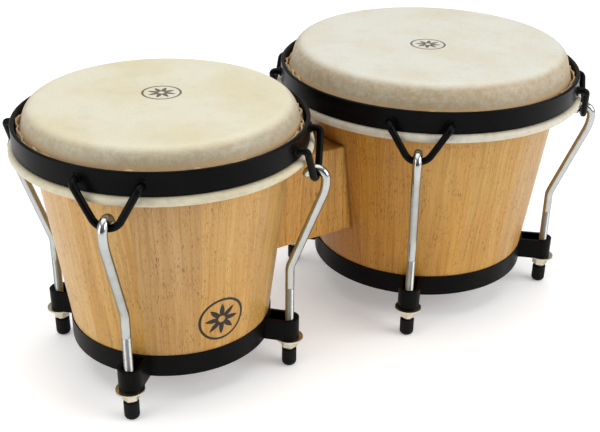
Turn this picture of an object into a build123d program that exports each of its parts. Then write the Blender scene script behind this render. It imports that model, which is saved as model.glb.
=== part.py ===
from build123d import *
import os
from dataclasses import dataclass
from math import asin, atan2, cos, degrees, hypot, radians, sin, tan

os.makedirs("parts", exist_ok=True)

# A pair of bongo drums, in millimetres.
# +X runs from the small drum (macho) to the large drum (hembra), -Y is the player's front and +Z is up.
# The origin is on the floor, at the middle of the pair's length.

# ---------------------------------------------------------------- driving dimensions
rim_gap = 15.2                # between the two drums' rims, where they are nearest

# shells: glued staves, with a step at the foot for the bottom ring
shell_wall = 11.5
glue_line = 0.05              # the joint between two staves
shell_inner_edge = 1.5        # rounding inside the bearing edge

# heads: a hide over the bearing edge, folded round the flesh ring
skin_thickness = 1.0
skin_gap = 0.1                # between the hide and what it lies on
flesh_wire_radius = 1.75
flesh_ring_inset = 0.05       # the wire's centre, inside the rim's outer face

# rims: flat bands that press on the folds
rim_height = 14.8
rim_thickness = 2.5
rim_edge = 0.8
rim_seat_gap = 0.2

# loops: bent rod, welded to the rim's outer face
loop_rod_radius = 2.3
loop_stand_off = 6.2          # the rod's centre at the foot of the V, outside the rim's outer face
loop_top_stand_off = 4.5
loop_bottom_bend = 10.0
loop_top_bend = 3.2
weld_gap = 0.05

# tuning hooks: M6 rod with a crank and a hooked top
hook_rod_radius = 3.0
hook_play = 0.95              # beside the loop's rod, in the hook's arc
hook_bend_angle = 172.0
hook_crank = 22.5             # sideways, from the threaded leg to the hook's back
hook_crank_bottom = 76.0
hook_lower_bend = 14.0
hook_upper_bend = 30.0
hook_back_straight = 1.0      # between the upper bend and the hook's arc
hook_loop_gap = 0.05
rod_bottom = 2.5
rod_chamfer = 0.6

# rubber caps on the rods' ends, which are the feet
cap_wall = 2.0
cap_height = 13.2
cap_bottom_round = 3.2
cap_top_round = 0.8

# flange nuts under the ears
thread_clearance = 0.05
nut_gap = 0.05
nut_height = 7.2
nut_across_flats = 10.0
nut_flange_radius = 9.3
nut_flange_edge = 1.2
nut_flange_taper = 2.2

# bottom rings: one casting each, with four hollow ears
ring_bottom = 24.0
ring_top = 37.5
ring_wall = 4.0
ring_stand_proud = 0.8        # outside the wood
ring_lip_thickness = 2.5
ring_edge = 1.5
ring_seat_gap = 0.1
ear_bottom = 22.5
ear_half_width = 7.7
ear_reach = 6.5               # outside the rod's axis
ear_wall = 2.5
ear_floor = 3.0
ear_root_fillet = 9.5
ear_hole_clearance = 0.3

# centre block: two glued pieces of wood between the shells
block_width = 43.0
block_bottom = 68.0
block_top = 133.0
block_edge = 0.8
block_seam_inset = 1.3        # inside the hembra's outer face, at the block's top
block_seat_gap = 0.1

# two M6 bolts through both shells and the block
bolt_inset = 17.0             # from the block's top and bottom
bolt_radius = 3.0
bolt_hole_clearance = 0.3
bolt_end_stand = 6.0          # beyond its nut
bolt_head_height = 4.0
bolt_nut_height = 5.0
bolt_across_flats = 10.0
washer_radius = 9.0
washer_thickness = 1.6
spot_face_depth = 1.3
spot_face_clearance = 0.5

# ---------------------------------------------------------------- worked out from them
fold_inner_radius = flesh_wire_radius + skin_gap
fold_radius = fold_inner_radius + skin_thickness
shell_bottom = ring_bottom + ring_lip_thickness + ring_seat_gap
hook_bend_radius = hook_rod_radius + loop_rod_radius + hook_play
cap_radius = hook_rod_radius + cap_wall
bolt_heights = {"lower": block_bottom + bolt_inset, "upper": block_top - bolt_inset}
nut_top = ear_bottom - nut_gap
nut_bottom = nut_top - nut_height
lug_angles = {"front_left": -135.0, "front_right": -45.0, "back_right": 45.0, "back_left": 135.0}


@dataclass
class Drum:
    """One drum's own sizes, and the places that follow from them."""

    name: str
    base_radius: float            # the shell's, at the bottom ring's top
    lip_overhang: float           # how much wider the shell is at its top
    head_top: float
    shoulder: float               # rounding outside the bearing edge
    staves: int
    joint_angle: float            # where the first glue line stands
    turn: float                   # of the lugs, from the diagonals
    rim_stand_off: float          # from the shell's lip to the rim's outer face
    rim_drop: float               # from the head down to the rim's lower edge
    loop_rise: float              # from the rim's lower edge up to the loops' welded ends
    loop_leg_angle: float         # from the vertical
    crank_drop: float             # from the rim's lower edge down to the top of the rods' crank

    def __post_init__(self):
        self.centre_x = 0.0
        self.shell_top = self.head_top - skin_thickness - skin_gap
        self.lip_radius = self.base_radius + self.lip_overhang
        self.taper = self.lip_overhang / (self.shell_top - ring_top)
        self.rim_radius = self.lip_radius + self.rim_stand_off
        self.rim_bottom = self.head_top - self.rim_drop
        self.loop_top = self.rim_bottom + self.loop_rise
        self.hook_crank_top = self.rim_bottom - self.crank_drop
        # the bearing edge's roundings share the wall's thickness
        outer_half_angle = (radians(90) - atan2(self.taper, 1)) / 2
        inner_share = shell_inner_edge * tan(outer_half_angle)
        self.shoulder = min(self.shoulder, 0.99 * (shell_wall - inner_share) * tan(outer_half_angle))
        self.flesh_ring_radius = self.rim_radius - flesh_ring_inset
        self.flesh_ring_height = self.rim_bottom - rim_seat_gap - fold_radius
        self.fold_reach = self.flesh_ring_radius + fold_radius
        self.ring_radius = self.base_radius + ring_stand_proud
        self.loop_radius = self.rim_radius + loop_stand_off
        self.hook_back = self.loop_radius + hook_bend_radius
        self.rod_radius = self.hook_back - hook_crank
        lean = atan2(hook_crank, self.hook_crank_top - hook_crank_bottom)
        self.hook_arc_height = self.hook_crank_top + hook_upper_bend * tan(lean / 2) + hook_back_straight
        hook_inside_top = self.hook_arc_height + hook_bend_radius - hook_rod_radius
        self.loop_bottom = hook_inside_top - hook_loop_gap - loop_rod_radius

    def shell_radius(self, height):
        """Radius of the shell's outer face."""
        return self.base_radius + self.taper * (height - ring_top)

    def axis(self):
        return Axis((self.centre_x, 0, 0), (0, 0, 1))

    def side_plane(self, angle=0.0):
        """Upright plane through the drum's axis: x points outwards and y points up."""
        a = radians(angle)
        return Plane(origin=(self.centre_x, 0, 0), x_dir=(cos(a), sin(a), 0), z_dir=(sin(a), -cos(a), 0))

    def level_plane(self, height, angle=0.0):
        """Level plane on the drum's axis, with x pointing outwards at an angle."""
        a = radians(angle)
        return Plane(origin=(self.centre_x, 0, height), x_dir=(cos(a), sin(a), 0), z_dir=(0, 0, 1))

    def rod_plane(self, height, angle):
        """Level plane on a tuning rod's axis, with x pointing outwards."""
        level = self.level_plane(height, angle)
        return level.shift_origin(level.from_local_coords((self.rod_radius, 0, 0)))

    def is_at_radius(self, point, radius):
        """Whether a point stands at a radius from the drum's axis."""
        return abs(hypot(point.X - self.centre_x, point.Y) - radius) < 0.1

    def lugs(self):
        """Name and angle of each of the drum's four lugs."""
        return [(place, angle + self.turn) for place, angle in lug_angles.items()]


macho = Drum(
    name="macho",
    base_radius=66.9,
    lip_overhang=18.6,
    head_top=185.5,
    shoulder=8.5,
    staves=12,
    joint_angle=-131.7,
    turn=-1.1,
    rim_stand_off=7.5,
    rim_drop=25.3,
    loop_rise=7.0,
    loop_leg_angle=29.0,
    crank_drop=25.0,
)
hembra = Drum(
    name="hembra",
    base_radius=79.8,
    lip_overhang=19.6,
    head_top=188.3,
    shoulder=8.8,
    staves=14,
    joint_angle=-134.0,
    turn=2.8,
    rim_stand_off=8.8,
    rim_drop=29.5,
    loop_rise=5.8,
    loop_leg_angle=31.5,
    crank_drop=24.9,
)
drum_spacing = macho.rim_radius + rim_gap + hembra.rim_radius
total_length = macho.fold_reach + drum_spacing + hembra.fold_reach
macho.centre_x = macho.fold_reach - total_length / 2
hembra.centre_x = total_length / 2 - hembra.fold_reach
block_seam = hembra.centre_x - hembra.shell_radius(block_top) + block_seam_inset


def save(part, name):
    """Label a finished piece and write it as its own node."""
    part.label = name
    export_step(part, f"parts/{name}.step")


def bolt_seat(drum, height):
    """Distance from the drum's axis to the washer's seat inside its wall."""
    return drum.shell_radius(height) - shell_wall + spot_face_depth


def facing(drum):
    """Direction from a drum towards the centre block."""
    return 1 if drum is macho else -1


# ---------------------------------------------------------------- shell
def make_shell(drum):
    step_radius = drum.ring_radius - ring_wall - ring_seat_gap
    inner_bottom = drum.shell_radius(shell_bottom) - shell_wall
    inner_top = drum.shell_radius(drum.shell_top) - shell_wall
    with BuildPart() as shell:
        with BuildSketch(drum.side_plane()) as section:
            with BuildLine():
                Polyline(
                    (inner_bottom, shell_bottom),
                    (step_radius, shell_bottom),
                    (step_radius, ring_top),
                    (drum.base_radius, ring_top),
                    (drum.shell_radius(drum.shell_top), drum.shell_top),
                    (inner_top, drum.shell_top),
                    close=True,
                )
            make_face()
            inner_corner = section.vertices().group_by(Axis.Y)[-1].sort_by(Axis.X)[0]
            fillet(inner_corner, shell_inner_edge)
            outer_corner = section.vertices().group_by(Axis.Y)[-1].sort_by(Axis.X)[-1]
            fillet(outer_corner, drum.shoulder)
        revolve(axis=drum.axis())
        for height in bolt_heights.values():
            wall = Plane(
                origin=(drum.centre_x, 0, height), x_dir=(0, 1, 0), z_dir=(facing(drum), 0, 0)
            )
            with BuildSketch(wall):
                Circle(bolt_radius + bolt_hole_clearance)
            extrude(amount=drum.rim_radius, mode=Mode.SUBTRACT)
            with BuildSketch(wall):
                Circle(washer_radius + spot_face_clearance)
            extrude(amount=bolt_seat(drum, height), mode=Mode.SUBTRACT)
        with BuildSketch(drum.level_plane(0, drum.joint_angle)):
            with PolarLocations(0, drum.staves):
                Rectangle(drum.rim_radius, glue_line, align=(Align.MIN, Align.CENTER))
        extrude(amount=drum.head_top, mode=Mode.SUBTRACT)
    return shell.part


# ---------------------------------------------------------------- head
def make_skin(drum):
    shoulder_line = drum.shoulder + skin_gap + skin_thickness / 2
    fold_line = fold_inner_radius + skin_thickness / 2
    slope = atan2(drum.taper, 1)
    shoulder_r = drum.shell_radius(drum.shell_top - drum.shoulder) - drum.shoulder / cos(slope)
    shoulder_z = drum.shell_top - drum.shoulder
    run_r = drum.flesh_ring_radius - shoulder_r
    run_z = drum.flesh_ring_height - shoulder_z
    # the hide runs straight from the outside of the shoulder to the inside of the fold
    crossing = asin((shoulder_line + fold_line) / hypot(run_r, run_z))
    leaving = atan2(run_z, run_r) - crossing + radians(90)
    leave = (cos(leaving), sin(leaving))
    with BuildPart() as skin:
        with BuildSketch(drum.side_plane()):
            with BuildLine():
                Line((0, shoulder_z + shoulder_line), (shoulder_r, shoulder_z + shoulder_line))
                CenterArc((shoulder_r, shoulder_z), shoulder_line, 90, degrees(leaving) - 90)
                Line(
                    (shoulder_r + shoulder_line * leave[0], shoulder_z + shoulder_line * leave[1]),
                    (
                        drum.flesh_ring_radius - fold_line * leave[0],
                        drum.flesh_ring_height - fold_line * leave[1],
                    ),
                )
            trace(line_width=skin_thickness)
            with Locations((drum.flesh_ring_radius, drum.flesh_ring_height)):
                Circle(fold_radius)
                Circle(fold_inner_radius, mode=Mode.SUBTRACT)
        revolve(axis=drum.axis())
    return skin.part


def make_flesh_ring(drum):
    with BuildPart() as flesh_ring:
        with BuildSketch(drum.side_plane()):
            with Locations((drum.flesh_ring_radius, drum.flesh_ring_height)):
                Circle(flesh_wire_radius)
        revolve(axis=drum.axis())
    return flesh_ring.part


# ---------------------------------------------------------------- rim and loops
def make_rim(drum):
    with BuildPart() as rim:
        with BuildSketch(drum.side_plane()):
            with Locations((drum.rim_radius - rim_thickness / 2, drum.rim_bottom + rim_height / 2)):
                RectangleRounded(rim_thickness, rim_height, rim_edge)
        revolve(axis=drum.axis())
    return rim.part


def make_loop(drum, angle):
    """A rod that leaves the rim level, turns down and makes a rounded V."""
    level = drum.level_plane(0, angle)
    lean = radians(drum.loop_leg_angle)
    corner = drum.loop_bottom - loop_bottom_bend * (1 / sin(lean) - 1)
    half_width = (drum.loop_top - corner) * tan(lean)
    start = drum.rim_radius - rim_thickness - half_width / 4
    bend_radius = drum.rim_radius + loop_top_stand_off
    # the V leans outwards, so that its foot runs through the hook's arc
    lean_out = (drum.loop_radius - bend_radius) / (drum.loop_top - drum.loop_bottom)
    corner_radius = bend_radius + lean_out * (drum.loop_top - corner)
    route = [
        (start, half_width, drum.loop_top),
        (bend_radius, half_width, drum.loop_top),
        (corner_radius, 0, corner),
        (bend_radius, -half_width, drum.loop_top),
        (start, -half_width, drum.loop_top),
    ]
    with BuildPart() as loop:
        with BuildLine() as path:
            FilletPolyline(
                *[level.from_local_coords(point) for point in route],
                radius=[loop_top_bend, loop_bottom_bend, loop_top_bend],
            )
        with BuildSketch(Plane(origin=path.line @ 0, z_dir=path.line % 0)):
            Circle(loop_rod_radius)
        sweep()
        with BuildSketch(drum.level_plane(0)):
            Circle(drum.rim_radius + weld_gap)
        extrude(amount=drum.head_top, mode=Mode.SUBTRACT)
    return loop.part


# ---------------------------------------------------------------- tuning hooks, nuts and caps
def make_hook(drum, angle):
    with BuildPart() as hook:
        with BuildLine(drum.side_plane(angle)) as path:
            FilletPolyline(
                (drum.rod_radius, rod_bottom),
                (drum.rod_radius, hook_crank_bottom),
                (drum.hook_back, drum.hook_crank_top),
                (drum.hook_back, drum.hook_arc_height),
                radius=[hook_lower_bend, hook_upper_bend],
            )
            CenterArc((drum.loop_radius, drum.hook_arc_height), hook_bend_radius, 0, hook_bend_angle)
        with BuildSketch(drum.rod_plane(rod_bottom, angle)):
            Circle(hook_rod_radius)
        sweep()
        ends = hook.edges().filter_by(GeomType.CIRCLE).sort_by(Axis.Z)
        tip = hook.faces().filter_by(GeomType.PLANE).sort_by(Axis.Z)[-1]
        chamfer(ends[0], rod_chamfer)
        chamfer(tip.edges(), rod_chamfer)
    return hook.part


def make_nut(drum, angle):
    """A hexagonal nut whose flange bears on the ear."""
    with BuildPart() as nut:
        with BuildSketch(drum.rod_plane(nut_bottom, angle)):
            RegularPolygon(nut_across_flats / 2, 6, major_radius=False)
        extrude(amount=nut_height)
        with BuildSketch(drum.rod_plane(nut_top, angle)):
            Circle(nut_flange_radius)
        extrude(amount=-nut_flange_edge)
        with BuildSketch(drum.rod_plane(nut_top - nut_flange_edge, angle)):
            Circle(nut_flange_radius)
        with BuildSketch(drum.rod_plane(nut_top - nut_flange_edge - nut_flange_taper, angle)):
            Circle(nut_across_flats / 2)
        loft()
        with BuildSketch(drum.rod_plane(nut_bottom, angle)):
            Circle(hook_rod_radius + thread_clearance)
        extrude(amount=nut_height, mode=Mode.SUBTRACT)
    return nut.part


def make_cap(drum, angle):
    with BuildPart() as cap:
        with BuildSketch(drum.rod_plane(0, angle)):
            Circle(cap_radius)
        extrude(amount=cap_height)
        ends = cap.edges().filter_by(GeomType.CIRCLE).sort_by(Axis.Z)
        fillet(ends[0], cap_bottom_round)
        fillet(ends[-1], cap_top_round)
        with BuildSketch(drum.rod_plane(rod_bottom, angle)):
            Circle(hook_rod_radius)
        extrude(amount=cap_height, mode=Mode.SUBTRACT)
    return cap.part


# ---------------------------------------------------------------- bottom ring
def make_bottom_ring(drum):
    """A band with four hollow ears that the tuning rods pass through."""
    inner_radius = drum.ring_radius - ring_wall
    lip_radius = drum.shell_radius(shell_bottom) - shell_wall
    ear_centre = drum.rod_radius + ear_reach - ear_half_width
    hollow_radius = ear_half_width - ear_wall
    hollow_start = drum.ring_radius + ring_edge
    with BuildPart() as ring:
        with BuildSketch(drum.level_plane(ring_bottom)):
            Circle(drum.ring_radius)
            Circle(inner_radius, mode=Mode.SUBTRACT)
        extrude(amount=ring_top - ring_bottom)
        with BuildSketch(drum.level_plane(ring_bottom)):
            Circle(drum.ring_radius - ring_wall / 2)
            Circle(lip_radius, mode=Mode.SUBTRACT)
        extrude(amount=ring_lip_thickness)
        outer_edges = ring.faces().sort_by(Axis.Z)[0].outer_wire().edges()
        fillet(outer_edges, ring_edge)
        # the ears run a little below the band, with rounded roots
        with BuildSketch(drum.level_plane(ear_bottom, drum.turn)) as ears:
            Circle(drum.ring_radius)
            with PolarLocations(0, len(lug_angles), start_angle=lug_angles["back_right"]):
                Rectangle(ear_centre, 2 * ear_half_width, align=(Align.MIN, Align.CENTER))
            with PolarLocations(ear_centre, len(lug_angles), start_angle=lug_angles["back_right"]):
                Circle(ear_half_width)
            roots = [v for v in ears.vertices() if drum.is_at_radius(v, drum.ring_radius)]
            fillet(roots, ear_root_fillet)
            Circle(drum.ring_radius - ring_edge, mode=Mode.SUBTRACT)
        extrude(amount=ring_top - ear_bottom)
        for _, angle in drum.lugs():
            with BuildSketch(drum.level_plane(ear_bottom + ear_floor, angle)):
                with Locations((hollow_start, 0)):
                    Rectangle(
                        ear_centre - hollow_start,
                        2 * hollow_radius,
                        align=(Align.MIN, Align.CENTER),
                    )
                with Locations((ear_centre, 0)):
                    Circle(hollow_radius)
            extrude(amount=ring_top, mode=Mode.SUBTRACT)
            with BuildSketch(drum.rod_plane(0, angle)):
                Circle(hook_rod_radius + ear_hole_clearance)
            extrude(amount=ring_top, mode=Mode.SUBTRACT)
    return ring.part


# ---------------------------------------------------------------- centre block and its bolts
def make_block(start_x, end_x):
    """A piece of the block, hollowed wherever it meets a shell."""
    with BuildPart() as block:
        with BuildSketch(Plane.YZ.offset(start_x)):
            with Locations((0, (block_bottom + block_top) / 2)):
                Rectangle(block_width, block_top - block_bottom)
        extrude(amount=end_x - start_x)
        chamfer(block.edges().filter_by(Axis.X), block_edge)
        for drum in (macho, hembra):
            seat_foot = drum.shell_radius(ring_top) + block_seat_gap
            seat_head = drum.shell_radius(drum.shell_top) + block_seat_gap
            with BuildSketch(drum.side_plane()):
                with BuildLine():
                    Polyline(
                        (0, ring_top),
                        (seat_foot, ring_top),
                        (seat_head, drum.shell_top),
                        (0, drum.shell_top),
                        close=True,
                    )
                make_face()
            revolve(axis=drum.axis(), mode=Mode.SUBTRACT)
        for height in bolt_heights.values():
            with BuildSketch(Plane.YZ.offset(start_x)):
                with Locations((0, height)):
                    Circle(bolt_radius + bolt_hole_clearance)
            extrude(amount=end_x - start_x, mode=Mode.SUBTRACT)
    return block.part


def head_face(height):
    """Where a bolt's head bears on its washer, inside the macho."""
    return macho.centre_x + bolt_seat(macho, height) - washer_thickness


def nut_face(height):
    """Where a bolt's nut bears on its washer, inside the hembra."""
    return hembra.centre_x - bolt_seat(hembra, height) + washer_thickness


def make_bolt(height):
    with BuildPart() as bolt:
        with BuildSketch(Plane.YZ.offset(head_face(height))):
            with Locations((0, height)):
                RegularPolygon(bolt_across_flats / 2, 6, major_radius=False)
        extrude(amount=-bolt_head_height)
        with BuildSketch(Plane.YZ.offset(head_face(height))):
            with Locations((0, height)):
                Circle(bolt_radius)
        extrude(amount=nut_face(height) + bolt_nut_height + bolt_end_stand - head_face(height))
        end = bolt.faces().sort_by(Axis.X)[-1]
        chamfer(end.edges(), rod_chamfer)
    return bolt.part


def make_washer(face_x, height):
    with BuildPart() as washer:
        with BuildSketch(Plane.YZ.offset(face_x)):
            with Locations((0, height)):
                Circle(washer_radius)
                Circle(bolt_radius + bolt_hole_clearance, mode=Mode.SUBTRACT)
        extrude(amount=washer_thickness)
    return washer.part


def make_bolt_nut(face_x, height):
    with BuildPart() as nut:
        with BuildSketch(Plane.YZ.offset(face_x)):
            with Locations((0, height)):
                RegularPolygon(bolt_across_flats / 2, 6, major_radius=False)
                Circle(bolt_radius + thread_clearance, mode=Mode.SUBTRACT)
        extrude(amount=bolt_nut_height)
    return nut.part


# ---------------------------------------------------------------- the pieces
for drum in (macho, hembra):
    save(make_shell(drum), f"{drum.name}_shell")
    save(make_skin(drum), f"{drum.name}_skin")
    save(make_flesh_ring(drum), f"{drum.name}_flesh_ring")
    save(make_rim(drum), f"{drum.name}_rim")
    save(make_bottom_ring(drum), f"{drum.name}_bottom_ring")
    for place, angle in drum.lugs():
        save(make_loop(drum, angle), f"{drum.name}_loop_{place}")
        save(make_hook(drum, angle), f"{drum.name}_hook_{place}")
        save(make_nut(drum, angle), f"{drum.name}_nut_{place}")
        save(make_cap(drum, angle), f"{drum.name}_cap_{place}")

save(make_block(macho.centre_x, block_seam), "block_macho_side")
save(make_block(block_seam, hembra.centre_x), "block_hembra_side")
for level, height in bolt_heights.items():
    save(make_bolt(height), f"block_bolt_{level}")
    save(make_washer(head_face(height), height), f"block_washer_macho_{level}")
    save(make_washer(nut_face(height) - washer_thickness, height), f"block_washer_hembra_{level}")
    save(make_bolt_nut(nut_face(height), height), f"block_nut_{level}")
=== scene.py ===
import math

import bpy
import numpy as np
from mathutils import Matrix, Vector


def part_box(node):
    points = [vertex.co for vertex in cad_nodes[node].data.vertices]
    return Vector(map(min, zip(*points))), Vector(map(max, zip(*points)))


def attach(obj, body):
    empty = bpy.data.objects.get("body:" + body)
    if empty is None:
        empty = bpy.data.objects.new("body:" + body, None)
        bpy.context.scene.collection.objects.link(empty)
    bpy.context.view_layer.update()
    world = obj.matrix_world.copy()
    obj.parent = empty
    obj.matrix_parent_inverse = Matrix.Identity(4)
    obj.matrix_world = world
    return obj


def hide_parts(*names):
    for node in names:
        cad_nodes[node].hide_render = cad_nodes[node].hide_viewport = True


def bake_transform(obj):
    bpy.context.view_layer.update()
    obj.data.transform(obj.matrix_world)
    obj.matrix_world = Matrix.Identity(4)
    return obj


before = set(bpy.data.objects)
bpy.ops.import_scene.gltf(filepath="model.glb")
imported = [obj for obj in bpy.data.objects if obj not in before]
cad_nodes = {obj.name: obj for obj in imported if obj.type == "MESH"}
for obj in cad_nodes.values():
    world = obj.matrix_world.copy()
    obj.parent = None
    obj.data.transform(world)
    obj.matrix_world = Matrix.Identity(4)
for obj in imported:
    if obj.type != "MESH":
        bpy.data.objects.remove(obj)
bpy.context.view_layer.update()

# The frame and Blender count in metres; sizes here are in millimetres, up to the floor, light and camera.
MM = 0.001
PLACES = ("front_left", "front_right", "back_right", "back_left")

# ---------------------------------------------------------------- sizes shared with the frame
SKIN_THICKNESS = 1.0
SKIN_GAP = 0.1                # between the hide and what it lies on
RIM_THICKNESS = 2.5
RING_TOP = 37.5               # of the bottom rings, where the bare shells start
ROD_RADIUS = 3.0
HOOK_BEND_RADIUS = 6.25
HOOK_BEND_ANGLE = 172.0
HOOK_CRANK = 22.5             # outwards, from the threaded leg to the hook's back
HOOK_CRANK_BOTTOM = 76.0
HOOK_LOWER_BEND = 14.0
HOOK_UPPER_BEND = 30.0
HOOK_BACK_STRAIGHT = 1.0
LOOP_ROD_RADIUS = 2.3
BLOCK_HALF_WIDTH = 21.5
BLOCK_HALF_HEIGHT = 32.5
BLOCK_MIDDLE = 100.5          # height of its centre

# ---------------------------------------------------------------- sizes of what only the visual model has
THREAD_PITCH = 1.0
THREAD_DEPTH = 0.45
THREAD_TOP = 61.0
THREAD_RUN_OUT = 1.5          # in pitches
ROD_SEGMENTS = 24
TIP_ROUNDING = 0.9
SKIN_SEGMENTS = 288
SURFACE_INSET = 0.02          # of the new hooks' and hides' smooth faces, inside the CAD faces
TAIL_ROWS = 8
TAIL_BEND = 0.9               # radius where the trimmed end turns up
TAIL_RIM_GAP = 0.25
TAIL_DROP = 2.6               # mean height of the rim over the trimmed end
TAIL_LEAN = 1.4               # mean lean of the trimmed end away from the rim
SKIN_SAG = 0.12
WELD_AROUND = 36
WELD_SECTION = 9
WELD_REACH = 1.3
WELD_LIFT = 1.0
GLUE_SHADE_WIDTH = 0.35
BADGE_RADIUS_FROM_AXIS = 69.5
BADGE_HEIGHT = 60.0
BADGE_RADIUS = 15.0
HEAD_MARK_RADIUS = 12.0


class Drum:
    """One drum: its own sizes, and those measured from the frame."""

    def __init__(self, name, base_radius, lip_radius, shoulder, hook_crank_top, staves, joint_angle):
        self.name = name
        self.base_radius = base_radius
        self.shoulder = shoulder
        self.hook_crank_top = hook_crank_top
        self.staves = staves
        self.joint_angle = math.radians(joint_angle)
        rim_low, rim_high = (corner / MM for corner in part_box(f"{name}_rim"))
        wire_low, wire_high = (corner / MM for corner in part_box(f"{name}_flesh_ring"))
        self.x = (rim_low.x + rim_high.x) / 2
        self.rim_radius = (rim_high.x - rim_low.x) / 2
        self.rim_bottom, self.rim_top = rim_low.z, rim_high.z
        self.wire_radius = (wire_high.z - wire_low.z) / 2
        self.flesh_ring_z = (wire_high.z + wire_low.z) / 2
        self.flesh_ring_radius = (wire_high.x - wire_low.x) / 2 - self.wire_radius
        self.shell_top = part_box(f"{name}_shell")[1].z / MM
        self.head_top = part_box(f"{name}_skin")[1].z / MM
        self.loop_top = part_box(f"{name}_loop_front_left")[1].z / MM - LOOP_ROD_RADIUS
        self.taper = (lip_radius - base_radius) / (self.shell_top - RING_TOP)

    def shell_radius(self, z):
        """Radius of the shell's outer face at a height."""
        return self.base_radius + self.taper * (z - RING_TOP)

    def rod_axis(self, place):
        """Centre of a tuning rod's straight leg, from its nut."""
        low, high = (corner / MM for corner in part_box(f"{self.name}_nut_{place}"))
        return Vector(((low.x + high.x) / 2, (low.y + high.y) / 2, 0))

    def outward(self, place):
        """Level direction from the drum's axis through a lug."""
        return (self.rod_axis(place) - Vector((self.x, 0, 0))).normalized()

    def sideways(self, place):
        """Level direction across a lug."""
        return Vector((0, 0, 1)).cross(self.outward(place))

    def loop_half_width(self, place):
        """Half the distance between the centres of a loop's two legs, from its CAD mesh."""
        sideways = self.sideways(place)
        mesh = cad_nodes[f"{self.name}_loop_{place}"].data
        reach = [vertex.co.dot(sideways) / MM - self.x * sideways.x for vertex in mesh.vertices]
        return (max(reach) - min(reach)) / 2 - LOOP_ROD_RADIUS


macho = Drum(
    "macho", base_radius=66.9, lip_radius=85.5, shoulder=8.5,
    hook_crank_top=135.2, staves=12, joint_angle=-131.7,
)
hembra = Drum(
    "hembra", base_radius=79.8, lip_radius=99.4, shoulder=8.8,
    hook_crank_top=133.9, staves=14, joint_angle=-134.0,
)
drums = (macho, hembra)


# ---------------------------------------------------------------- shader building
class Shader:
    """A node material, built by short calls that return output sockets."""

    def __init__(self, name):
        self.material = bpy.data.materials.new(name)
        self.material.use_nodes = True
        self.tree = self.material.node_tree
        self.surface = self.tree.nodes["Principled BSDF"]

    def put(self, socket, value):
        """Link an output to an input, or set the input's value."""
        if isinstance(value, bpy.types.NodeSocket):
            self.tree.links.new(value, socket)
        elif isinstance(value, (tuple, list)) and len(value) == 3 and socket.type == "RGBA":
            socket.default_value = (*value, 1.0)
        else:
            socket.default_value = value

    def node(self, kind, inputs=(), **settings):
        made = self.tree.nodes.new("ShaderNode" + kind)
        for key, value in settings.items():
            setattr(made, key, value)
        for key, value in dict(inputs).items():
            self.put(made.inputs[key], value)
        return made

    def math(self, operation, *values):
        made = self.node("Math", operation=operation)
        for socket, value in zip(made.inputs, values):
            self.put(socket, value)
        return made.outputs[0]

    def times(self, value, factor):
        return self.math("MULTIPLY", value, factor)

    def radius(self, x, y):
        """Distance from where x and y are zero."""
        return self.math("SQRT", self.math("ADD", self.times(x, x), self.times(y, y)))

    def place(self):
        """Coordinates on the piece, in millimetres of the row frame."""
        where = self.node("TexCoord").outputs["Object"]
        scaled = self.node("VectorMath", {0: where, 1: (1 / MM,) * 3}, operation="MULTIPLY")
        return scaled.outputs[0]

    def split(self, vector):
        return self.node("SeparateXYZ", {0: vector}).outputs

    def join(self, x, y, z):
        return self.node("CombineXYZ", {0: x, 1: y, 2: z}).outputs[0]

    def noise(self, vector, scale=1.0, detail=2.0, roughness=0.5):
        inputs = {"Vector": vector, "Scale": scale, "Detail": detail, "Roughness": roughness}
        return self.node("TexNoise", inputs).outputs[0]

    def ramp(self, value, low, high, out_low=0.0, out_high=1.0):
        """Smooth step of a value between two limits."""
        inputs = {0: value, 1: low, 2: high, 3: out_low, 4: out_high}
        return self.node("MapRange", inputs, interpolation_type="SMOOTHSTEP").outputs[0]

    def mix(self, factor, a, b, blend="MIX"):
        made = self.node("Mix", data_type="RGBA", blend_type=blend)
        self.put(made.inputs[0], factor)
        self.put(made.inputs[6], a)
        self.put(made.inputs[7], b)
        return made.outputs[2]

    def bump(self, height, distance):
        """Bump from a height in millimetres."""
        return self.node("Bump", {"Height": height, "Distance": distance * MM}).outputs[0]

    def finish(self, **inputs):
        for key, value in inputs.items():
            self.put(self.surface.inputs[key.replace("_", " ")], value)
        return self.material


def motif(s, across, up, radius):
    """Mask of a generic eight-pointed star in a thin ring, centred where across and up are zero."""
    distance = s.radius(across, up)
    angle = s.math("ARCTAN2", up, across)
    wave = s.math("PINGPONG", s.math("ADD", angle, 2 * math.pi), math.pi / 8)
    edge = s.math("MULTIPLY_ADD", wave, -1.25 * radius, 0.78 * radius)
    star = s.ramp(s.math("SUBTRACT", distance, edge), 0.35, -0.35)
    hub = s.ramp(s.math("SUBTRACT", distance, 0.16 * radius), -0.3, 0.3)
    off_ring = s.math("ABSOLUTE", s.math("SUBTRACT", distance, radius))
    ring = s.ramp(off_ring, 0.075 * radius, 0.04 * radius)
    return s.math("MAXIMUM", s.times(star, hub), ring)


# ---------------------------------------------------------------- wood
# each layer of grain: noise cells per millimetre across it and along it, detail and roughness
GRAIN_LAYERS = {
    "wander": (0.03, 0.008, 2.0, 0.5),
    "figure": (0.16, 0.006, 3.0, 0.55),
    "bands": (0.75, 0.013, 2.0, 0.6),
    "fibre": (4.2, 0.11, 3.0, 0.65),
    "pore": (2.3, 0.22, 1.0, 0.4),
    "crowd": (0.12, 0.05, 2.0, 0.5),
    "fleck": (1.1, 0.10, 3.0, 0.7),
    "streak": (0.55, 0.045, 4.0, 0.7),
}
GRAIN_WANDER = 14.0           # the most that the grain bends aside
FOOT_TINT = (1.0, 0.94, 0.72)
SCORCH = (0.010, 0.006, 0.003)

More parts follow.
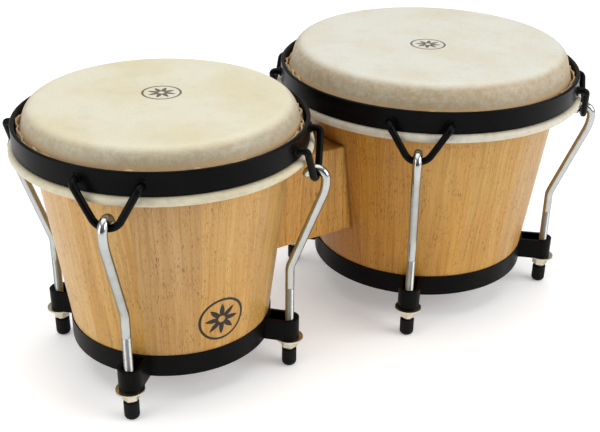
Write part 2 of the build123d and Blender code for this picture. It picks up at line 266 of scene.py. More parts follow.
# light, middle and dark wood, and the pores
OAK = {
    "macho": ((0.76, 0.49, 0.215), (0.68, 0.400, 0.150), (0.52, 0.27, 0.075), (0.20, 0.09, 0.020)),
    "hembra": ((0.76, 0.455, 0.170), (0.67, 0.370, 0.115), (0.50, 0.24, 0.055), (0.20, 0.08, 0.015)),
    "block": ((0.76, 0.47, 0.19), (0.64, 0.37, 0.13), (0.42, 0.20, 0.05), (0.12, 0.05, 0.015)),
}
# red, green and blue factors of the staves in front, counted round from each drum's first glue line
FRONT_STAVES = {
    "macho": {
        0: (0.71, 0.69, 0.66),
        1: (0.77, 0.74, 0.60),
        2: (0.68, 0.67, 0.54),
        10: (0.78, 0.80, 0.77),
        11: (0.77, 0.74, 0.58),
    },
    "hembra": {
        0: (0.81, 0.78, 0.56),
        1: (0.76, 0.77, 0.62),
        2: (0.66, 0.68, 0.66),
        12: (0.70, 0.58, 0.34),
        13: (0.80, 0.69, 0.32),
    },
}
BLOCK_TONES = [(0.84, 0.74, 0.42), (0.92, 0.82, 0.46)]


def board_tones(known, count, seed):
    """Colour factors of each board: those known, and others drawn at random round their mean."""
    draw = np.random.default_rng(seed)
    mean = np.mean(list(known.values()), axis=0)
    tones = [tuple(np.clip(mean * draw.uniform(0.9, 1.1), 0, 1)) for _ in range(count)]
    for number, tone in known.items():
        tones[number] = tone
    return tones


def tone_chart(s, number, tones):
    """The tone of the board that has a number."""
    chart = s.node("ValToRGB", {"Fac": s.math("DIVIDE", s.math("ADD", number, 0.5), float(len(tones)))})
    stops = chart.color_ramp.elements
    chart.color_ramp.interpolation = "CONSTANT"
    stops.remove(stops[1])
    for index, tone in enumerate(tones):
        stop = stops[0] if index == 0 else stops.new(index / len(tones))
        stop.color = (*tone, 1.0)
    return chart.outputs[0]


def grain_layer(s, name, across, along, level):
    """One layer of grain, at a level of its own in the noise."""
    fine, long, detail, roughness = GRAIN_LAYERS[name]
    return s.noise(s.join(s.times(across, fine), s.times(along, long), level), 1.0, detail, roughness)


def wood_material(name, board, colours, tones, grain_seed, contact, streaks, burnt=None):
    """Straight-grained hardwood under a thin lacquer.

    board(s, place) gives (across, along, depth, board number, edge distance): millimetres across and along
    the grain, a number that is constant on each board, and the distance to the nearest glue line or None.
    contact(s, place) gives the distance to where the piece meets another; painted shade of the join darkens
    the colour there, together with some squeezed-out glue.
    burnt(s, place) gives where a motif is burnt in, as motif() takes it.
    """
    s = Shader(name)
    light, middle, dark, pore_colour = colours
    across, along, depth, number, edge = board(s, s.place())
    level = s.math("MULTIPLY_ADD", number, 61.7, grain_seed)
    deep_level = s.math("MULTIPLY_ADD", depth, 2.0, level)
    wander = grain_layer(s, "wander", across, along, level)
    bent = s.math("MULTIPLY_ADD", wander, GRAIN_WANDER, across)
    figure = grain_layer(s, "figure", bent, along, level)
    bands = grain_layer(s, "bands", bent, along, level)
    fibre = grain_layer(s, "fibre", bent, along, deep_level)
    pore = grain_layer(s, "pore", across, along, deep_level)
    crowd = grain_layer(s, "crowd", across, along, level)
    fleck = grain_layer(s, "fleck", bent, along, s.math("ADD", level, 17.0))
    streak = grain_layer(s, "streak", bent, along, s.math("ADD", level, 43.0))
    pores = s.ramp(s.math("MULTIPLY_ADD", crowd, 0.34, pore), 0.80, 0.87)
    colour = s.mix(s.ramp(figure, 0.35, 0.68), light, middle)
    colour = s.mix(s.times(s.ramp(bands, 0.44, 0.70), 0.65), colour, dark)
    colour = s.mix(s.times(s.ramp(fibre, 0.42, 0.72), 0.42), colour, dark)
    colour = s.mix(s.times(s.ramp(fleck, 0.57, 0.69), 0.55), colour, dark)
    colour = s.mix(s.times(pores, 0.65), colour, pore_colour)
    # boards differ in tone and a little in hue
    colour = s.mix(1.0, colour, tone_chart(s, number, tones), "MULTIPLY")
    colour = s.mix(s.times(s.ramp(streak, 0.60, 0.68), streaks), colour, pore_colour)
    # painted shade in the joins between shells and block, partly dark squeezed-out glue
    join_shade_and_glue = s.ramp(s.math("MULTIPLY_ADD", fibre, 2.0, contact(s, s.place())), 4.0, 0.6)
    colour = s.mix(s.times(join_shade_and_glue, 0.62), colour, pore_colour)
    # the colour is a little deeper and yellower towards the foot
    foot = s.ramp(s.split(s.place())[2], 120.0, 45.0)
    colour = s.mix(foot, colour, s.mix(1.0, colour, FOOT_TINT, "MULTIPLY"))
    height = s.math("MULTIPLY_ADD", pores, -0.7, s.times(fibre, 0.3))
    if edge is not None:
        seam = s.ramp(edge, GLUE_SHADE_WIDTH, 0.0)
        colour = s.mix(s.times(seam, 0.6), colour, dark)
        height = s.math("SUBTRACT", height, seam)
    if burnt is not None:
        mark = motif(s, *burnt(s, s.place()))
        uneven = s.ramp(s.noise(s.place(), 0.9, 3.0), 0.2, 0.5, 0.93, 1.0)
        colour = s.mix(s.times(mark, uneven), colour, SCORCH)
        height = s.math("MULTIPLY_ADD", mark, -3.0, height)
    return s.finish(
        Base_Color=colour,
        Roughness=s.ramp(fibre, 0.3, 0.8, 0.42, 0.52),
        Specular_IOR_Level=0.2,
        Coat_Weight=0.25,
        Coat_Roughness=0.22,
        Normal=s.bump(height, 0.05),
    )


def stave_board(drum):
    """Coordinates on a shell: across each stave, along the grain, and the stave's number."""
    step = 2 * math.pi / drum.staves

    def coordinates(s, place):
        x, y, z = s.split(place)
        x = s.math("SUBTRACT", x, drum.x)
        radius = s.radius(x, y)
        turn = s.math("ADD", s.math("ARCTAN2", y, x), 4 * math.pi - drum.joint_angle)
        sector = s.math("DIVIDE", turn, step)
        number = s.math("FLOOR", sector)
        part = s.math("SUBTRACT", sector, number)
        # the number repeats after a whole turn
        number = s.math("MODULO", number, float(drum.staves))
        across = s.times(s.times(s.math("SUBTRACT", part, 0.5), step), radius)
        edge = s.times(s.times(s.math("PINGPONG", part, 0.5), step), radius)
        return across, z, radius, number, edge

    return coordinates


def plain_board(number):
    """Coordinates on a block whose grain stands upright."""

    def coordinates(s, place):
        x, y, z = s.split(place)
        return x, z, y, s.math("ADD", number, 0.0), None

    return coordinates


def beside_block(drum):
    """Distance on a shell from the centre block."""
    towards_block = 1.0 if drum is macho else -1.0

    def distance(s, place):
        x, y, z = s.split(place)
        beside = s.math("SUBTRACT", s.math("ABSOLUTE", y), BLOCK_HALF_WIDTH)
        off_middle = s.math("ABSOLUTE", s.math("SUBTRACT", z, BLOCK_MIDDLE))
        above = s.math("SUBTRACT", off_middle, BLOCK_HALF_HEIGHT)
        behind = s.times(s.math("SUBTRACT", x, drum.x), -towards_block)
        return s.math("MAXIMUM", s.math("MAXIMUM", beside, above), behind)

    return distance


def beside_shells(s, place):
    """Distance on the centre block from the nearer shell."""
    x, y, z = s.split(place)
    gaps = []
    for drum in drums:
        radius = s.radius(s.math("SUBTRACT", x, drum.x), y)
        shell = s.math("MULTIPLY_ADD", z, drum.taper, drum.shell_radius(0.0))
        gaps.append(s.math("SUBTRACT", radius, shell))
    return s.math("MINIMUM", *gaps)


def burnt_badge(s, place):
    """Where the motif is burnt into the macho: across, up and its radius."""
    x, y, z = s.split(place)
    turn = s.math("ARCTAN2", s.math("SUBTRACT", x, macho.x), s.times(y, -1.0))
    return s.times(turn, BADGE_RADIUS_FROM_AXIS), s.math("SUBTRACT", z, BADGE_HEIGHT), BADGE_RADIUS


# ---------------------------------------------------------------- hide
# clear hide, cloudy hide, the stain on the collar, and its specks
HIDE = {
    "macho": ((0.665, 0.63, 0.49), (0.63, 0.565, 0.38), (0.35, 0.29, 0.19), (0.22, 0.17, 0.10)),
    "hembra": ((0.63, 0.63, 0.55), (0.61, 0.565, 0.45), (0.36, 0.27, 0.15), (0.20, 0.13, 0.07)),
}
HIDE_SCUFF = (0.72, 0.69, 0.62)
HIDE_CUT_EDGE = (0.60, 0.40, 0.19)
INK = (0.035, 0.022, 0.012)


def hide_material(drum, speckle, mark_x, mark_y):
    """Rawhide: mottled and slightly waxy on top, stained and speckled down the collar, with an inked mark."""
    s = Shader(f"{drum.name}_rawhide")
    clear, cloudy, stain, speck_colour = HIDE[drum.name]
    place = s.place()
    x, y, z = s.split(place)
    radius = s.radius(s.math("SUBTRACT", x, drum.x), y)
    cloud = s.noise(place, 0.022, 4.0, 0.55)
    patch = s.noise(place, 0.075, 3.0, 0.6)
    mottle = s.noise(place, 0.20, 4.0, 0.65)
    grain = s.noise(place, 0.9, 3.0, 0.6)
    speck = s.noise(place, 1.15, 2.0, 0.7)
    scratch = s.noise(place, 0.42, 5.0, 0.75)
    # masks of the collar, the fold under the rim and the trimmed end inside it
    fold = s.ramp(z, drum.rim_bottom + 1.0, drum.rim_bottom - 1.5)
    collar = s.ramp(z, drum.head_top - 0.1, drum.head_top - 4.2)
    collar = s.times(collar, s.math("SUBTRACT", 1.0, fold))
    near_rim = s.ramp(radius, drum.rim_radius - 8.0, drum.rim_radius - 6.5)
    tail = s.times(near_rim, s.ramp(z, drum.rim_bottom, drum.rim_bottom + 3.0))
    colour = s.mix(s.ramp(cloud, 0.35, 0.7), clear, cloudy)
    colour = s.mix(s.times(s.ramp(patch, 0.5, 0.8), 0.16), colour, stain)
    colour = s.mix(s.times(collar, s.ramp(mottle, 0.35, 0.65, 0.66, 0.94)), colour, stain)
    scuffs = s.times(s.ramp(scratch, 0.56, 0.68), s.math("MULTIPLY_ADD", collar, 0.15, 0.05))
    colour = s.mix(scuffs, colour, HIDE_SCUFF)
    colour = s.mix(s.times(fold, s.ramp(mottle, 0.4, 0.7, 0.15, 0.40)), colour, stain)
    colour = s.mix(s.times(tail, s.ramp(mottle, 0.3, 0.6, 0.55, 0.85)), colour, HIDE_CUT_EDGE)
    specks = s.times(s.ramp(speck, 0.60, 0.72), s.math("MULTIPLY_ADD", collar, speckle, 0.05))
    colour = s.mix(specks, colour, speck_colour)
    grain_depth = s.math("MULTIPLY_ADD", collar, 0.22, 0.12)
    colour = s.mix(s.times(s.ramp(grain, 0.4, 0.7), grain_depth), colour, stain)
    ink = motif(s, s.math("SUBTRACT", x, mark_x), s.math("SUBTRACT", y, mark_y), HEAD_MARK_RADIUS)
    ink = s.times(ink, s.ramp(z, drum.head_top - 1.0, drum.head_top - 0.5))
    ink = s.times(ink, s.ramp(grain, 0.25, 0.5, 0.7, 0.95))
    colour = s.mix(ink, colour, INK)
    height = s.math("ADD", s.times(grain, 0.6), s.times(patch, 1.4))
    return s.finish(
        Base_Color=colour,
        Roughness=s.ramp(grain, 0.3, 0.7, 0.44, 0.56),
        Subsurface_Weight=0.08,
        Subsurface_Radius=(0.0030, 0.0018, 0.0008),
        Sheen_Weight=0.08,
        Normal=s.bump(height, 0.12),
    )


# ---------------------------------------------------------------- metal and rubber
BLACK_COAT = (0.0016, 0.0016, 0.0016)
DUSTY_COAT = (0.0036, 0.0036, 0.0033)
PALE_FLECK = (0.03, 0.03, 0.029)
CHROME = ((0.46, 0.475, 0.46), (0.41, 0.42, 0.40))
NICKEL = ((0.66, 0.60, 0.47), (0.50, 0.44, 0.33))
ZINC = ((0.60, 0.60, 0.61), (0.46, 0.46, 0.47))
PIT = (0.10, 0.09, 0.07)
DULL_THREAD = (0.38, 0.38, 0.36)
PLATED_EDGE = (0.35, 0.35, 0.34)
RUBBER = (0.0050, 0.0050, 0.0050)
SCUFFED_RUBBER = (0.035, 0.034, 0.032)


def black_coat_material(name, roughness, peel_scale, peel_height):
    """Black powder coat with a fine orange peel, dustier in places."""
    s = Shader(name)
    place = s.place()
    peel = s.noise(place, peel_scale, 2.0, 0.5)
    dust = s.noise(place, 0.05, 4.0, 0.6)
    fleck = s.ramp(s.noise(place, 1.6, 1.0), 0.72, 0.80)
    colour = s.mix(s.ramp(dust, 0.35, 0.75), BLACK_COAT, DUSTY_COAT)
    colour = s.mix(s.times(fleck, 0.25), colour, PALE_FLECK)
    return s.finish(
        Base_Color=colour,
        Roughness=s.ramp(dust, 0.3, 0.8, roughness, roughness + 0.08),
        Specular_IOR_Level=0.06,
        Normal=s.bump(peel, peel_height),
    )


def plated_material(name, plating, roughness, wear, thread_top=None):
    """Plated steel: soft drawing lines, slightly dull patches, and duller threads below a height."""
    s = Shader(name)
    bright, dull = plating
    place = s.place()
    x, y, z = s.split(place)
    patch = s.noise(place, 0.12, 3.0, 0.6)
    lines = s.noise(s.join(s.times(x, 6.0), s.times(y, 6.0), s.times(z, 0.25)), 1.0, 2.0)
    pit = s.ramp(s.noise(place, 2.2, 1.0), 0.74, 0.82)
    colour = s.mix(s.ramp(patch, 0.40, 0.75), bright, dull)
    colour = s.mix(s.times(pit, wear), colour, PIT)
    gloss = s.math("ADD", s.ramp(patch, 0.3, 0.8, roughness, roughness + 0.03), s.times(lines, 0.05))
    if thread_top is not None:
        threads = s.ramp(z, thread_top + 0.5, thread_top - 0.5)
        colour = s.mix(s.times(threads, 0.15), colour, DULL_THREAD)
        gloss = s.math("MULTIPLY_ADD", threads, 0.12, gloss)
    return s.finish(
        Base_Color=colour,
        Metallic=1.0,
        Specular_Tint=PLATED_EDGE,
        Roughness=gloss,
        Normal=s.bump(lines, 0.01),
    )


def rubber_material(name):
    """Matt moulded rubber, scuffed grey low down."""
    s = Shader(name)
    place = s.place()
    z = s.split(place)[2]
    grain = s.noise(place, 3.0, 3.0, 0.6)
    scuff = s.times(s.ramp(s.noise(place, 0.8, 3.0, 0.7), 0.45, 0.75), s.ramp(z, 3.5, 0.5))
    return s.finish(
        Base_Color=s.mix(s.times(scuff, 0.5), RUBBER, SCUFFED_RUBBER),
        Roughness=s.ramp(grain, 0.3, 0.7, 0.58, 0.72),
        Specular_IOR_Level=0.12,
        Normal=s.bump(grain, 0.03),
    )


def assign(piece, material):
    piece.data.materials.clear()
    piece.data.materials.append(material)


# ---------------------------------------------------------------- mesh building
def mesh_object(name, points, faces, material):
    """A smooth mesh piece from points in millimetres."""
    mesh = bpy.data.meshes.new(name)
    mesh.from_pydata((np.asarray(points, float) * MM).tolist(), [], faces)
    mesh.polygons.foreach_set("use_smooth", [True] * len(mesh.polygons))
    mesh.update()
    piece = bpy.data.objects.new(name, mesh)
    bpy.context.scene.collection.objects.link(piece)
    assign(piece, material)
    return piece


def grid_faces(rows, columns, wrap_rows, wrap_columns):
    """Quads over a grid of points stored row by row."""
    faces = []
    for i in range(rows if wrap_rows else rows - 1):
        for j in range(columns if wrap_columns else columns - 1):
            a = i * columns + j
            b = i * columns + (j + 1) % columns
            c = ((i + 1) % rows) * columns + (j + 1) % columns
            d = ((i + 1) % rows) * columns + j
            faces.append((a, b, c, d))
    return faces


def ripple(angle, amounts, seed):
    """A smooth closed wave round a circle: amounts maps cycles to amplitude."""
    draw = np.random.default_rng(seed)
    total = np.zeros_like(angle)
    for cycles, amplitude in amounts.items():
        total = total + amplitude * np.sin(cycles * angle + draw.uniform(0, 2 * math.pi))
    return total


# ---------------------------------------------------------------- the hide heads
def arc_points(centre, radius, start, end, step):
    """Points on an arc, angles in radians, about step apart."""
    count = max(2, int(abs(end - start) * radius / step) + 1)
    angles = np.linspace(start, end, count)
    return [(centre[0] + radius * math.cos(a), centre[1] + radius * math.sin(a)) for a in angles]


def skin_centre_line(drum):
    """The hide's centre line from the middle of the head to the turned-up end, in stretches of (r, z)."""
    shoulder_line = drum.shoulder + SKIN_GAP + SKIN_THICKNESS / 2
    fold_line = drum.wire_radius + SKIN_GAP + SKIN_THICKNESS / 2
    slope = math.atan(drum.taper)
    shoulder_z = drum.shell_top - drum.shoulder
    shoulder_r = drum.shell_radius(shoulder_z) - drum.shoulder / math.cos(slope)
    ring_r, ring_z = drum.flesh_ring_radius, drum.flesh_ring_z
    run = (ring_r - shoulder_r, ring_z - shoulder_z)
    # the collar is the straight line that touches both circles, passing between them
    crossing = math.asin((shoulder_line + fold_line) / math.hypot(*run))
    leaving = math.atan2(run[1], run[0]) - crossing + math.pi / 2
    flat = [(r, shoulder_z + shoulder_line) for r in np.linspace(0.5, shoulder_r - 1.0, 26)]
    shoulder = arc_points((shoulder_r, shoulder_z), shoulder_line, math.pi / 2, leaving, 0.9)
    head = np.array(shoulder[-1])
    foot = np.array((ring_r - fold_line * math.cos(leaving), ring_z - fold_line * math.sin(leaving)))
    collar = [tuple(head + (foot - head) * t) for t in np.linspace(0.08, 0.94, 14)]
    fold = arc_points((ring_r, ring_z), fold_line, leaving + math.pi, 2.5 * math.pi, 0.7)
    turn_centre = (tail_radius(drum) + TAIL_BEND, ring_z + fold_line + TAIL_BEND)
    turn = arc_points(turn_centre, TAIL_BEND, 1.5 * math.pi, math.pi, 0.5)
    return flat, shoulder, collar, fold, turn


def tail_radius(drum):
    """Where the hide's trimmed end stands, inside the rim."""
    return drum.rim_radius - RIM_THICKNESS - TAIL_RIM_GAP - SKIN_THICKNESS / 2


def skin_faces(drum, angles, seed):
    """Both faces of the hide, each as (r, z) arrays with a row for each angle."""
    flat, shoulder, collar, fold, turn = skin_centre_line(drum)
    line = flat + shoulder + collar + fold + turn
    flat_end = len(flat)
    shoulder_end = flat_end + len(shoulder)
    collar_end = shoulder_end + len(collar)
    trimmed = ripple(angles, {2: 0.5, 5: 0.7, 9: 0.6, 17: 0.6, 41: 0.6, 73: 0.5}, seed)
    trimmed = np.minimum(drum.rim_top - TAIL_DROP + trimmed, drum.rim_top - 0.4)
    lean = np.clip(TAIL_LEAN + ripple(angles, {7: 0.5, 13: 0.7, 29: 0.6, 47: 0.4}, seed + 4), 0, 3.2)
    pleats = ripple(angles, {23: 0.05, 37: 0.05, 61: 0.04}, seed + 1)
    sag = ripple(angles, {2: 0.10, 3: 0.08, 5: 0.05}, seed + 2)
    bulge = ripple(angles, {3: 0.10, 7: 0.10, 19: 0.08, 31: 0.05}, seed + 3)
    r = np.zeros((SKIN_SEGMENTS, len(line) + TAIL_ROWS))
    z = np.zeros_like(r)
    for k, (line_r, line_z) in enumerate(line):
        r[:, k] = line_r
        z[:, k] = line_z
    tail_start = turn[-1][1]
    for k in range(TAIL_ROWS):
        share = (k + 1) / TAIL_ROWS
        r[:, len(line) + k] = tail_radius(drum) - lean * share**1.5
        z[:, len(line) + k] = tail_start + (trimmed - tail_start) * share
    dr = np.gradient(r, axis=1)
    dz = np.gradient(z, axis=1)
    length = np.hypot(dr, dz)
    normal_r, normal_z = -dz / length, dr / length
    # the collar is pleated towards the fold, and the fold is lumpy up to where it turns into the rim
    wobble = np.zeros_like(r)
    wobble[:, shoulder_end:collar_end] = pleats[:, None] * np.linspace(0, 1, collar_end - shoulder_end)
    wobble[:, collar_end : len(line) - 4] = bulge[:, None] * 0.5
    # the membrane sinks a little, unevenly
    inwards = np.clip(1 - r[:, :flat_end] / r[:, flat_end - 1 : flat_end], 0, 1)
    sinking = np.zeros_like(r)
    sinking[:, :flat_end] = -SKIN_SAG * inwards + sag[:, None] * inwards * (1 - inwards) * 2
    inner = SKIN_THICKNESS / 2 - SURFACE_INSET
    outer = inner - np.abs(wobble) * 0.5
    outside = (r + normal_r * (outer + wobble), z + normal_z * outer + sinking)
    inside = (r - normal_r * inner, z - normal_z * inner + sinking)
    return outside, inside


def make_skin(drum, seed):
    """The hide: a membrane, a pleated collar, the fold round the flesh ring and a rough trimmed end."""
    angles = np.linspace(0, 2 * math.pi, SKIN_SEGMENTS, endpoint=False)
    (top_r, top_z), (low_r, low_z) = skin_faces(drum, angles, seed)
    # each section runs out along the outside face and back along the inside one
    r = np.concatenate([top_r, low_r[:, ::-1]], axis=1)
    z = np.concatenate([top_z, low_z[:, ::-1]], axis=1)
    columns = r.shape[1]
    x = drum.x + r * np.cos(angles)[:, None]
    y = r * np.sin(angles)[:, None]
    points = np.stack([x, y, z], axis=-1).reshape(-1, 3)
    faces = [face[::-1] for face in grid_faces(SKIN_SEGMENTS, columns, True, False)]
    # close the middle of both faces
    points = np.vstack([points, [(drum.x, 0, top_z[:, 0].mean()), (drum.x, 0, low_z[:, 0].mean())]])
    top_centre, low_centre = len(points) - 2, len(points) - 1
    for i in range(SKIN_SEGMENTS):
        j = (i + 1) % SKIN_SEGMENTS
        faces.append((top_centre, i * columns, j * columns))
        faces.append((low_centre, j * columns + columns - 1, i * columns + columns - 1))
    skin = mesh_object(f"{drum.name}_hide", points, faces, hides[drum.name])
    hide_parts(f"{drum.name}_skin")
    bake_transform(skin)


# ---------------------------------------------------------------- tuning hooks
def hook_route(drum, place):
    """Stations along the rod: distance out from its leg, height, heading and distance run."""
    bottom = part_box(f"{drum.name}_hook_{place}")[0].z / MM
    rise = drum.hook_crank_top - HOOK_CRANK_BOTTOM
    lean = math.atan2(HOOK_CRANK, rise)
    low_cut = HOOK_LOWER_BEND * math.tan(lean / 2)
    high_cut = HOOK_UPPER_BEND * math.tan(lean / 2)
    # each run is (length, turn, step between stations)
    runs = [
        (THREAD_TOP - bottom, 0.0, THREAD_PITCH / 6),
        (HOOK_CRANK_BOTTOM - low_cut - THREAD_TOP, 0.0, 3.0),
        (HOOK_LOWER_BEND * lean, -lean, 0.8),
        (math.hypot(HOOK_CRANK, rise) - low_cut - high_cut, 0.0, 5.0),
        (HOOK_UPPER_BEND * lean, lean, 1.2),
        (HOOK_BACK_STRAIGHT, 0.0, 1.0),
        (HOOK_BEND_RADIUS * math.radians(HOOK_BEND_ANGLE), math.radians(HOOK_BEND_ANGLE), 0.7),
    ]
    out, up, heading, gone = 0.0, bottom, math.pi / 2, 0.0
    stations = [(out, up, heading, gone)]
    for length, turn, step in runs:
        fewest = 3 if turn else 1
        steps = max(fewest, round(length / step))
        # on a bend, each step is the chord of its share of the arc
        half_turn = turn / steps / 2
        stride = length / steps * (math.sin(half_turn) / half_turn if turn else 1.0)
        for _ in range(steps):
            heading += half_turn
            out += stride * math.cos(heading)
            up += stride * math.sin(heading)
            heading += half_turn
            gone += length / steps
            stations.append((out, up, heading, gone))
    return stations


def rod_radii(gone, whole_length, thread_length, around):
    """Radii round the rod, at a distance from its lower end: a rolled thread, then a rounded tip."""
    phase = gone / THREAD_PITCH - around / (2 * math.pi)
    tooth = np.abs((phase % 1.0) * 2 - 1)
    groove = np.clip(1.35 * tooth - 0.2, 0, 1)
    run_out = np.clip((thread_length - gone) / (THREAD_RUN_OUT * THREAD_PITCH), 0, 1)
    radii = ROD_RADIUS - SURFACE_INSET - THREAD_DEPTH * groove * run_out
    lead_in = min(1.0, 0.78 + gone / 3.0)
    from_tip = min(1.0, (whole_length - gone) / TIP_ROUNDING)
    closing = 0.65 + 0.35 * math.sqrt(max(0.0, 1 - (1 - from_tip) ** 2))
    return radii * lead_in * closing


def make_hook(drum, place):
    """A bent rod with a rolled thread on its leg and a rounded tip."""
    outward, sideways, axis = drum.outward(place), drum.sideways(place), drum.rod_axis(place)
    stations = hook_route(drum, place)
    bottom = stations[0][1]
    tip_out, tip_up, tip_heading, whole_length = stations[-1]
    around = np.linspace(0, 2 * math.pi, ROD_SEGMENTS, endpoint=False)
    points = []
    for out, up, heading, gone in stations:
        across = Vector((math.sin(heading), 0, -math.cos(heading)))
        radii = rod_radii(gone, whole_length, THREAD_TOP - bottom, around)
        for angle, radius in zip(around, radii):
            local = across * (radius * math.cos(angle))
            point = axis + outward * (out + local.x) + sideways * (radius * math.sin(angle))
            points.append((point.x, point.y, up + local.z))
    faces = grid_faces(len(stations), ROD_SEGMENTS, False, True)
    # close both ends
    bulge = 0.05
    tip = axis + outward * (tip_out + bulge * math.cos(tip_heading))
    points.append((axis.x, axis.y, bottom))
    points.append((tip.x, tip.y, tip_up + bulge * math.sin(tip_heading)))
    last = (len(stations) - 1) * ROD_SEGMENTS
    for j in range(ROD_SEGMENTS):
        k = (j + 1) % ROD_SEGMENTS
        faces.append((k, j, len(points) - 2))
        faces.append((last + j, last + k, len(points) - 1))
    name = f"{drum.name}_hook_{place}"
    hook = mesh_object(f"{name}_threaded", points, [face[::-1] for face in faces], chrome)
    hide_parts(name)
    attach(hook, f"{drum.name}_tension")


# ---------------------------------------------------------------- weld beads
def make_welds(drum, seed):
    """A lumpy bead of weld round each leg of the drum's loops, where it meets the rim."""
    turns = np.linspace(0, 2 * math.pi, WELD_AROUND, endpoint=False)
    points, faces = [], []
    for index, place in enumerate(PLACES):
        outward, sideways = drum.outward(place), drum.sideways(place)
        half_width = drum.loop_half_width(place)
        for side in (-1, 1):
            start = len(points)
            lumps = 1 + ripple(turns, {3: 0.10, 5: 0.16, 8: 0.08}, seed + 10 * index + side)
            for turn, lump in zip(turns, lumps):
                for swell in np.linspace(0, math.pi, WELD_SECTION):
                    reach = LOOP_ROD_RADIUS - 0.15 + (1 + math.cos(swell)) / 2 * WELD_REACH * lump
                    lift = math.sin(swell) * WELD_LIFT * lump
                    across = side * half_width + reach * math.cos(turn)
                    out = math.sqrt(drum.rim_radius**2 - across * across) - 0.05 + lift
                    centre = Vector((drum.x, 0, drum.loop_top + reach * math.sin(turn)))
                    points.append(tuple(centre + outward * out + sideways * across))
            grid = grid_faces(WELD_AROUND, WELD_SECTION, True, False)
            faces += [tuple(start + v for v in face[::side]) for face in grid]
    welds = mesh_object(f"{drum.name}_weld_beads", points, faces, black_steel)
    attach(welds, f"{drum.name}_tension")


# ---------------------------------------------------------------- the object
black_steel = black_coat_material("black_coat_steel", 0.30, 0.9, 0.03)
black_casting = black_coat_material("black_coat_casting", 0.36, 0.55, 0.10)
chrome = plated_material("chrome_plate", CHROME, 0.15, 0.5, THREAD_TOP)
nut_plating = plated_material("nickel_plate", NICKEL, 0.24, 0.4)
bare_steel = plated_material("zinc_plate", ZINC, 0.30, 0.4)
rubber = rubber_material("rubber")
hides = {
    "macho": hide_material(macho, speckle=0.45, mark_x=macho.x + 3.9, mark_y=7.7),
    "hembra": hide_material(hembra, speckle=0.7, mark_x=hembra.x - 6.9, mark_y=-5.3),
}
woods = {
    "macho": wood_material(
        "macho_oak", stave_board(macho), OAK["macho"],
        board_tones(FRONT_STAVES["macho"], macho.staves, 1),
        grain_seed=3.0, contact=beside_block(macho), streaks=0.05, burnt=burnt_badge,
    ),
    "hembra": wood_material(
        "hembra_oak", stave_board(hembra), OAK["hembra"],
        board_tones(FRONT_STAVES["hembra"], hembra.staves, 2),
        grain_seed=11.0, contact=beside_block(hembra), streaks=0.15,
    ),
}
for number, side in enumerate(("macho", "hembra")):
    block_oak = wood_material(
        f"block_oak_{side}", plain_board(float(number)), OAK["block"], BLOCK_TONES,
        grain_seed=20.0, contact=beside_shells, streaks=0.8,
    )
    assign(cad_nodes[f"block_{side}_side"], block_oak)

for drum in drums:
    assign(cad_nodes[f"{drum.name}_shell"], woods[drum.name])
    assign(cad_nodes[f"{drum.name}_bottom_ring"], black_casting)
    assign(cad_nodes[f"{drum.name}_rim"], black_steel)
    assign(cad_nodes[f"{drum.name}_flesh_ring"], bare_steel)
    for place in PLACES:
        assign(cad_nodes[f"{drum.name}_loop_{place}"], black_steel)
        assign(cad_nodes[f"{drum.name}_nut_{place}"], nut_plating)
        assign(cad_nodes[f"{drum.name}_cap_{place}"], rubber)
        make_hook(drum, place)
for name, node in cad_nodes.items():
    if name.startswith(("block_bolt", "block_washer", "block_nut")):
        assign(node, bare_steel)
make_skin(macho, 5)
make_skin(hembra, 25)
make_welds(macho, 100)
make_welds(hembra, 200)

# ---------------------------------------------------------------- floor, light and camera (metres and watts)
FLOOR_HALF = 4.0
FLOOR_GLOW = 0.26             # lifts the floor towards white, and lights the object a little from below
SKY_BRIGHT, SKY_DIM = 0.45, 0.10
SKY_DIM_TOWARDS = (-0.50, -0.72, -0.48)
SKY_DIM_FROM, SKY_DIM_TO = -0.1, 0.75
LIGHT_TARGET = Vector((0, 0, 0.1))
CAMERA_EYE = (-0.3928, -0.5711, 0.4131)
CAMERA_YAW, CAMERA_PITCH, CAMERA_ROLL = 35.009, -28.299, 1.407
FOCAL_LENGTH, SENSOR_WIDTH = 63.65, 36.0
FRAMING_SHIFT = (-0.0328, 0.0673)


def make_floor():
    """A pale floor that glows faintly; its far edge shows in low views."""
    s = Shader("studio_floor")
    tone = s.noise(s.place(), 0.002, 2.0)
    material = s.finish(
        Base_Color=s.mix(tone, (0.90, 0.90, 0.90), (0.92, 0.92, 0.92)),
        Roughness=0.6,
        Specular_IOR_Level=0.2,
        Emission_Color=(1.0, 1.0, 1.0),
        Emission_Strength=FLOOR_GLOW,
    )
    half = FLOOR_HALF / MM
    corners = [(-half, -half, 0), (half, -half, 0), (half, half, 0), (-half, half, 0)]
    floor = mesh_object("studio_floor", corners, [(0, 1, 2, 3)], material)


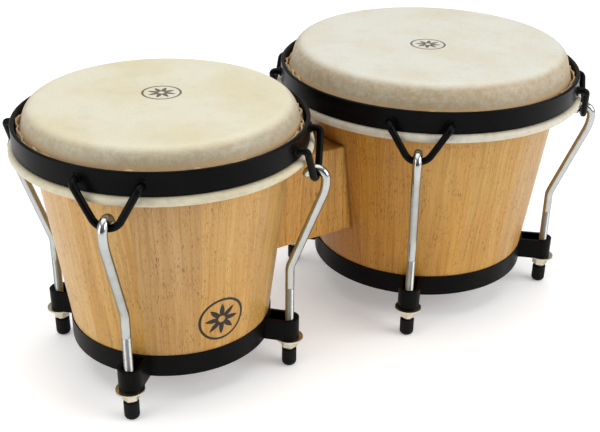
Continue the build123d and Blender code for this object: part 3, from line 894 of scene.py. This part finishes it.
def make_sky():
    """A white surround, dimmer low down on the camera's side, so that dark and plated pieces keep depth."""
    world = bpy.data.worlds.new("studio")
    world.use_nodes = True
    sky = world.node_tree
    direction = sky.nodes.new("ShaderNodeTexCoord").outputs["Generated"]
    facing = sky.nodes.new("ShaderNodeVectorMath")
    facing.operation = "DOT_PRODUCT"
    sky.links.new(direction, facing.inputs[0])
    facing.inputs[1].default_value = SKY_DIM_TOWARDS
    dimming = sky.nodes.new("ShaderNodeMapRange")
    dimming.interpolation_type = "SMOOTHSTEP"
    for socket, value in zip(dimming.inputs[1:5], (SKY_DIM_FROM, SKY_DIM_TO, SKY_BRIGHT, SKY_DIM)):
        socket.default_value = value
    sky.links.new(facing.outputs["Value"], dimming.inputs[0])
    sky.links.new(dimming.outputs[0], sky.nodes["Background"].inputs["Strength"])
    sky.nodes["Background"].inputs["Color"].default_value = (1.0, 1.0, 1.0, 1.0)
    bpy.context.scene.world = world


def make_softbox(name, centre, size, power):
    """A large rectangular light that faces the object."""
    light = bpy.data.lights.new(name, "AREA")
    light.shape = "RECTANGLE"
    light.size, light.size_y = size
    light.energy = power
    lamp = bpy.data.objects.new(name, light)
    lamp.location = centre
    lamp.rotation_mode = "QUATERNION"
    lamp.rotation_quaternion = (LIGHT_TARGET - Vector(centre)).to_track_quat("-Z", "Y")
    bpy.context.scene.collection.objects.link(lamp)


def make_camera():
    """The scene's camera, from where it stands, its turn, its tilt and its roll."""
    yaw, pitch, roll = (math.radians(v) for v in (CAMERA_YAW, CAMERA_PITCH, CAMERA_ROLL))
    level = math.cos(pitch)
    forward = Vector((math.sin(yaw) * level, math.cos(yaw) * level, math.sin(pitch)))
    right = Vector((math.cos(yaw), -math.sin(yaw), 0))
    above = right.cross(forward)
    rolled_right = right * math.cos(roll) + above * math.sin(roll)
    rolled_above = above * math.cos(roll) - right * math.sin(roll)
    lens = bpy.data.cameras.new("camera")
    lens.lens, lens.sensor_width = FOCAL_LENGTH, SENSOR_WIDTH
    lens.shift_x, lens.shift_y = FRAMING_SHIFT
    lens.clip_start, lens.clip_end = 0.01, 50.0
    camera = bpy.data.objects.new("camera", lens)
    turned = Matrix((rolled_right, rolled_above, -forward)).transposed().to_4x4()
    camera.matrix_world = Matrix.Translation(CAMERA_EYE) @ turned
    bpy.context.scene.collection.objects.link(camera)
    bpy.context.scene.camera = camera


make_floor()
make_sky()
make_softbox("overhead", (0.0, 0.15, 1.5), (1.9, 1.7), 16.5)
make_softbox("left", (-1.6, 0.1, 0.6), (1.0, 1.2), 11.0)
make_softbox("front_right", (1.0, -1.3, 0.85), (1.4, 1.1), 19.0)
make_camera()
bpy.context.scene.view_settings.view_transform = "Standard"
